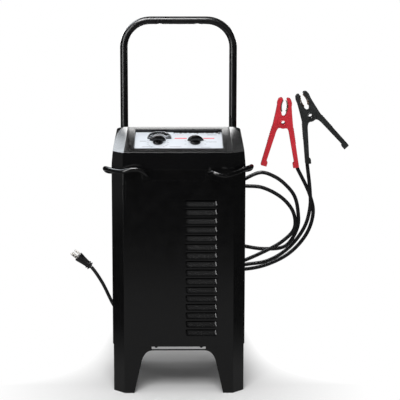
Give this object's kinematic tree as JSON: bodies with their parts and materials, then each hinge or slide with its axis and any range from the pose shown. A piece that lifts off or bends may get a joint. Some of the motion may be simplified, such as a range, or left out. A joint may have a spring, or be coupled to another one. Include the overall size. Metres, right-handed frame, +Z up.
{
  "type": "wheeled car battery charger",
  "caption": "Tall wheeled battery charger: louvred black cabinet, sloped panel with two knobs and a meter, U handle, cord hooks, mains lead and two battery clamps.",
  "frame": {"origin": "on the floor, at the centre of the bounding box with the leads and clamps as laid out; the cabinet's centre line is at X = -0.0787 m, Y = -0.0076 m", "axes": "+X to the right seen from the front, +Y to the back, +Z up"},
  "size_m": [0.7129, 0.3742, 0.904],
  "materials": {
    "black_paint": "gloss powder coat",
    "handle_paint": "satin powder coat",
    "cap_plastic": "semi-gloss moulded plastic",
    "knob_plastic": "fine grained",
    "meter_plastic": "gloss",
    "panel_white": "printed film",
    "clear": "clear",
    "dark_plastic": "moulded",
    "cable_rubber": "satin",
    "wheel_rubber": "moulded, matt",
    "zinc_steel": "zinc plated",
    "brass": "nickel or plain brass",
    "core_steel": "varnished laminations",
    "copper": "copper",
    "aluminium": "extruded",
    "clamp_red": "moulded",
    "clamp_black": "moulded"
  },
  "bodies": {
    "charger": {"cabinet_shell": "black_paint", "rear_panel": "black_paint", "bottom_pan": "black_paint", "leg_frame": "black_paint", "front_badge_plate": "black_paint", "left_cord_hook": "black_paint", "right_cord_hook": "black_paint", "axle_bracket_left": "black_paint", "axle_bracket_right": "black_paint", "handle_tube": "handle_paint", "top_cap": "cap_plastic", "ammeter_housing": "meter_plastic", "panel_label": "panel_white", "ammeter_lens": "clear", "timer_unit": "dark_plastic", "selector_switch": "dark_plastic", "thermal_breaker": "dark_plastic", "fan_frame": "dark_plastic", "power_cord_grip": "dark_plastic", "dc_cable_grip_positive": "dark_plastic", "dc_cable_grip_negative": "dark_plastic", "power_cord": "cable_rubber", "dc_cable_positive": "cable_rubber", "dc_cable_negative": "cable_rubber", "plug_body": "cable_rubber", "axle": "zinc_steel", "axle_cap_left": "zinc_steel", "axle_cap_right": "zinc_steel", "handle_bracket_left": "zinc_steel", "handle_bracket_right": "zinc_steel", "panel_screw": "zinc_steel", "transformer_strap": "zinc_steel", "rectifier_diode_left": "zinc_steel", "rectifier_diode_right": "zinc_steel", "red_torsion_spring": "zinc_steel", "black_torsion_spring": "zinc_steel", "plug_blade_line": "brass", "plug_blade_neutral": "brass", "plug_ground_pin": "brass", "transformer_core": "core_steel", "transformer_winding": "copper", "red_cable_jaw_teeth": "copper", "black_cable_jaw_teeth": "copper", "rectifier_heatsink": "aluminium", "red_cable_lever": "clamp_red", "red_pivot_eyelet": "clamp_red", "black_cable_lever": "clamp_black", "black_pivot_eyelet": "clamp_black"},
    "timer_knob": {"timer_knob": "knob_plastic", "timer_shaft": "brass"},
    "selector_knob": {"selector_knob": "knob_plastic", "selector_shaft": "brass"},
    "ammeter_needle": {"ammeter_needle": "panel_white"},
    "wheel_left": {"wheel_left": "wheel_rubber"},
    "wheel_right": {"wheel_right": "wheel_rubber"},
    "fan_rotor": {"fan_rotor": "dark_plastic"},
    "red_free_lever": {"red_free_lever": "clamp_red", "red_free_jaw_teeth": "copper"},
    "black_free_lever": {"black_free_lever": "clamp_black", "black_free_jaw_teeth": "copper"}
  },
  "joints": [
    {"name": "timer_knob_turn", "type": "hinge", "parent": "charger", "child": "timer_knob", "pos_m": [-0.1287, -0.08589, 0.62209], "axis": [0, -0.3486, 0.9373], "range_deg": [-30, 270]},
    {"name": "selector_knob_turn", "type": "hinge", "parent": "charger", "child": "selector_knob", "pos_m": [-0.038, -0.08589, 0.62209], "axis": [0, -0.3486, 0.9373], "range_deg": [0, 180]},
    {"name": "ammeter_needle_swing", "type": "hinge", "parent": "charger", "child": "ammeter_needle", "pos_m": [-0.1252, -0.06968, 0.62812], "axis": [0, -0.3486, 0.9373], "range_deg": [-100, 0]},
    {"name": "wheel_left_spin", "type": "hinge", "parent": "charger", "child": "wheel_left", "pos_m": [-0.2097, 0.0924, 0.055], "axis": [1, 0, 0], "continuous": true},
    {"name": "wheel_right_spin", "type": "hinge", "parent": "charger", "child": "wheel_right", "pos_m": [0.0523, 0.0924, 0.055], "axis": [1, 0, 0], "continuous": true},
    {"name": "fan_spin", "type": "hinge", "parent": "charger", "child": "fan_rotor", "pos_m": [-0.1407, 0.1124, 0.435], "axis": [0, 1, 0], "continuous": true},
    {"name": "red_clamp_squeeze", "type": "hinge", "parent": "charger", "child": "red_free_lever", "pos_m": [0.1887, 0.1744, 0.6214], "axis": [0, -1, 0], "range_deg": [0, 30]},
    {"name": "black_clamp_squeeze", "type": "hinge", "parent": "charger", "child": "black_free_lever", "pos_m": [0.257, 0.1624, 0.6412], "axis": [0, 1, 0], "range_deg": [0, 30]}
  ]
}
